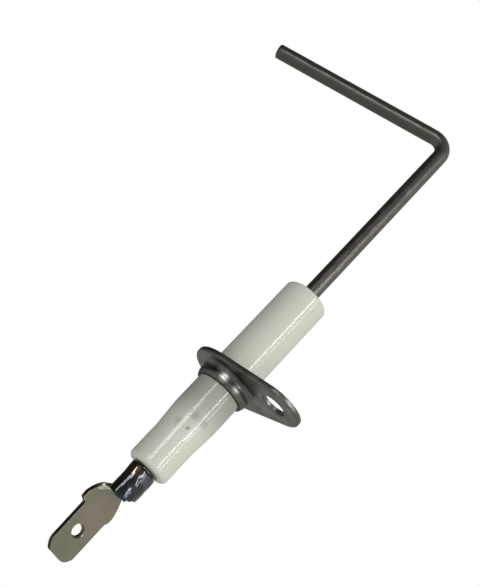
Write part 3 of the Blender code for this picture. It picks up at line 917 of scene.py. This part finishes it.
class BuildBraze(bpy.types.Operator):
    """Fill the barrel's open side with braze and close the rod's end with a dome"""

    bl_idname = "electrode.build_braze"
    bl_label = "Brazed Joint"

    def execute(self, context):
        s = context.scene.electrode_braze
        terminal = context.scene.electrode_terminal
        finish = dark_braze(s)
        fill = make_piece("braze_fill", self.fill(s, terminal.face_azimuth, terminal.seam_half), finish, 60.0)
        finish_piece(fill, "braze", "joint_braze")
        dome = make_piece("braze_dome", [patch(self.dome(s))], finish, 60.0)
        finish_piece(dome, "braze", "joint_braze")
        return {"FINISHED"}

    @staticmethod
    def fill(s, face, seam_half):
        """Braze between the walls' edges. Its outside falls from their radius by sink (1 - t t), where t runs
        from -1 to 1 over the sunk part, swells half-way down by 0.14 exp(-((z + 24.4) / 1.3)^2) (1 - t t) mm
        and carries slow lumps; its lower end has two points and a notch. Heights are in mm."""
        top = -22.0
        overlap = math.radians(0.5)
        around = face + np.linspace(-seam_half - overlap, seam_half + overlap, 91)[None]
        way = np.degrees(around)
        end = joint_end(around) - 0.22 * np.exp(-(((way + 15.0) / 6.0) ** 2))
        end = end + 0.36 * np.exp(-(((way + 4.5) / 5.5) ** 2)) + 0.25 * np.exp(-(((way - 26.0) / 12.0) ** 2))
        steps = np.linspace(0.0, 1.0, 49)[:, None]
        z = end + steps * (top - end)
        t = np.clip((around - s.sink_middle) / s.sink_half, -1.0, 1.0)
        sink = s.sink * (1.0 + 0.25 * smooth_step(z, -25.0, -23.2))
        lumps = 0.030 * np.sin(1.9 * z + 2.5 * around) * np.sin(3.4 * around + 0.9 * z + 0.5)
        rims = np.exp(-(z - end) / 0.14) + np.exp(-(top - z) / 0.16)
        swell = 0.14 * np.exp(-(((z + 24.4) / 1.3) ** 2)) * (1.0 - t * t)
        radius = s.edge_radius - sink * (1.0 - t * t) + (lumps + swell - 0.14 * rims) * MM
        outside = at_angle(radius, around, z * MM)
        inside = at_angle(s.rod_side, around, z * MM)[:, ::-1]
        skin = np.concatenate([outside, inside, outside[:, :1]], axis=1)
        return [patch(skin)] + [patch(np.stack([outside[row], inside[row, ::-1]])) for row in (0, -1)]

    @staticmethod
    def dome(s):
        """A plug under the rod's end: a disc whose lower side bulges as an ellipse."""
        top = -26.66 * MM
        radius = s.rod_side
        turns = np.linspace(0.0, math.pi / 2.0, 12)
        flat = np.array([(0.0, top), (0.5 * radius, top), (radius, top)])
        bulge = top - 0.08 * MM + (s.dome_height - top) * np.sin(turns)
        low = np.stack([radius * np.cos(turns), bulge], axis=1)
        return turned(np.vstack([flat, low]), np.linspace(0.0, TURN, 49))


class FinishSeals(bpy.types.Operator):
    """Give the two cement rings their finish"""

    bl_idname = "electrode.finish_seals"
    bl_label = "Cement Seals"

    def execute(self, context):
        cement = grey_cement(context.scene.electrode_seals)
        for node in ("front_cement_seal", "rear_cement_seal"):
            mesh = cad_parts[node].data
            mesh.materials.clear()
            mesh.materials.append(cement)
        return {"FINISHED"}


class BuildStage(bpy.types.Operator):
    """Set the floor, the soft light and the camera"""

    bl_idname = "electrode.build_stage"
    bl_label = "Stage"

    TUBE_DISTANCE = 500.0 * MM
    # name, directions of the top and the bottom (degrees), their heights, width (mm), brightness
    TUBES = (
        ("tube_near", -16.5, -14.5, 265.0, 60.0, 46.0, 15.0),
        ("tube_far_low", 2.5, 4.5, 172.0, 60.0, 38.0, 9.0),
        ("tube_far_high", 2.0, 2.2, 260.0, 192.0, 38.0, 8.0),
        ("tube_left", -84.0, -65.0, 137.0, 66.0, 44.0, 9.0),
        ("tube_near_foot", -7.0, -14.0, 42.0, 8.0, 46.0, 14.0),
        ("tube_far_foot", 6.0, 1.0, 42.0, 8.0, 38.0, 8.0),
        ("tube_left_foot", -84.0, -66.0, 42.0, 8.0, 44.0, 9.0),
    )

    def execute(self, context):
        s = context.scene.electrode_stage
        self.room(context.scene, s)
        for tube in self.TUBES:
            self.tube(*tube)
        self.floor(s)
        self.camera(context.scene, s)
        context.scene.view_settings.view_transform = "Standard"
        return {"FINISHED"}

    @staticmethod
    def room(scene, s):
        """A white room whose soft light grows evenly from one side to the other."""
        world = bpy.data.worlds.new("soft_room")
        scene.world = world
        world.use_nodes = True
        tree = world.node_tree
        tree.nodes.clear()
        way = add(tree, "ShaderNodeTexCoord").outputs["Generated"]
        bright_way = (0.68, 0.64, 0.36)
        level = vectors(tree, "DOT_PRODUCT", way, bright_way)
        light = between(tree, level, -0.4, 0.9, s.dim_side, s.bright_side, "LINEAR")
        room = add(tree, "ShaderNodeBackground", {"Color": (1.0, 0.995, 0.97, 1.0), "Strength": light})
        white = add(tree, "ShaderNodeBackground", {"Color": (1.0, 1.0, 1.0, 1.0), "Strength": s.backdrop})
        seen = add(tree, "ShaderNodeLightPath").outputs["Is Camera Ray"]
        both = add(tree, "ShaderNodeMixShader", {0: seen, 1: room.outputs[0], 2: white.outputs[0]})
        add(tree, "ShaderNodeOutputWorld", {0: both.outputs[0]})

    def tube(self, name, top_way, low_way, top, low, width, brightness):
        """A narrow soft light that stands beside the object and faces it. Its power is its brightness times
        its area times pi."""
        upper, lower = (
            Vector(at_angle(self.TUBE_DISTANCE, math.radians(way), height * MM))
            for way, height in ((top_way, top), (low_way, low))
        )
        middle = (upper + lower) / 2.0
        lamp = bpy.data.lights.new(name, "AREA")
        lamp.shape = "RECTANGLE"
        lamp.size = width * MM
        lamp.size_y = (upper - lower).length
        lamp.energy = brightness * math.pi * lamp.size * lamp.size_y
        upright = (upper - lower).normalized()
        away = middle.copy()
        away.z = 0.0
        away = (away - upright * away.dot(upright)).normalized()
        side = upright.cross(away)
        obj = bpy.data.objects.new(name, lamp)
        turn = Matrix((side, upright, away)).transposed().to_4x4()
        obj.matrix_world = Matrix.Translation(middle) @ turn
        obj.visible_camera = False
        bpy.context.scene.collection.objects.link(obj)

    @staticmethod
    def floor(s):
        """A round floor of rings about the axis, 0.9 m in radius."""
        radii = np.linspace(0.0, 0.9, 13)
        angles = np.linspace(0.0, TURN, 65)
        profile = np.stack([radii, np.full(len(radii), s.floor_height)], axis=1)
        floor = make_piece("floor", [patch(turned(profile, angles))], pale_floor(s), closed=False)
        if floor.data.polygons[0].normal.z < 0.0:
            floor.data.flip_normals()

    @staticmethod
    def camera(scene, s):
        """The camera, turned about its own line of sight so that its right side points up."""
        lens = bpy.data.cameras.new("camera")
        lens.lens = s.lens
        lens.sensor_width = 36.0
        lens.shift_x = 0.0098
        lens.shift_y = 0.0205
        lens.clip_start = 1.0 * MM
        lens.clip_end = 20.0
        forward = Vector(at_angle(math.cos(s.pitch), s.heading, math.sin(s.pitch)))
        level = Vector(at_angle(1.0, s.heading - math.pi / 2.0, 0.0))
        over = level.cross(forward)
        right = math.cos(s.roll) * level + math.sin(s.roll) * over
        up = math.cos(s.roll) * over - math.sin(s.roll) * level
        camera = bpy.data.objects.new("camera", lens)
        turn = Matrix((right, up, -forward)).transposed().to_4x4()
        camera.matrix_world = Matrix.Translation(s.place) @ turn
        scene.collection.objects.link(camera)
        scene.camera = camera


class ElectrodePanel(bpy.types.Panel):
    """Lists the settings and the operators"""

    bl_label = "Ignition Electrode"
    bl_idname = "VIEW3D_PT_ignition_electrode"
    bl_space_type = "VIEW_3D"
    bl_region_type = "UI"
    bl_category = "Electrode"

    def draw(self, context):
        for operator in OPERATORS:
            self.layout.operator(operator.bl_idname)
        for name, group in SETTINGS:
            box = self.layout.box()
            box.label(text=group.__doc__)
            for prop in group.__annotations__:
                box.prop(getattr(context.scene, name), prop)


OPERATORS = (BuildCeramic, BuildRod, BuildFlange, BuildTerminal, BuildBraze, FinishSeals, BuildStage)


def register():
    for name, group in SETTINGS:
        bpy.utils.register_class(group)
        setattr(bpy.types.Scene, name, bpy.props.PointerProperty(type=group))
    for operator in OPERATORS:
        bpy.utils.register_class(operator)
    bpy.utils.register_class(ElectrodePanel)


def unregister():
    bpy.utils.unregister_class(ElectrodePanel)
    for operator in reversed(OPERATORS):
        bpy.utils.unregister_class(operator)
    for name, group in reversed(SETTINGS):
        delattr(bpy.types.Scene, name)
        bpy.utils.unregister_class(group)


def main():
    register()
    bpy.ops.electrode.build_ceramic()
    bpy.ops.electrode.build_rod()
    bpy.ops.electrode.build_flange()
    bpy.ops.electrode.build_terminal()
    bpy.ops.electrode.build_braze()
    bpy.ops.electrode.finish_seals()
    bpy.ops.electrode.build_stage()
    bpy.context.view_layer.update()


if __name__ == "__main__":
    main()
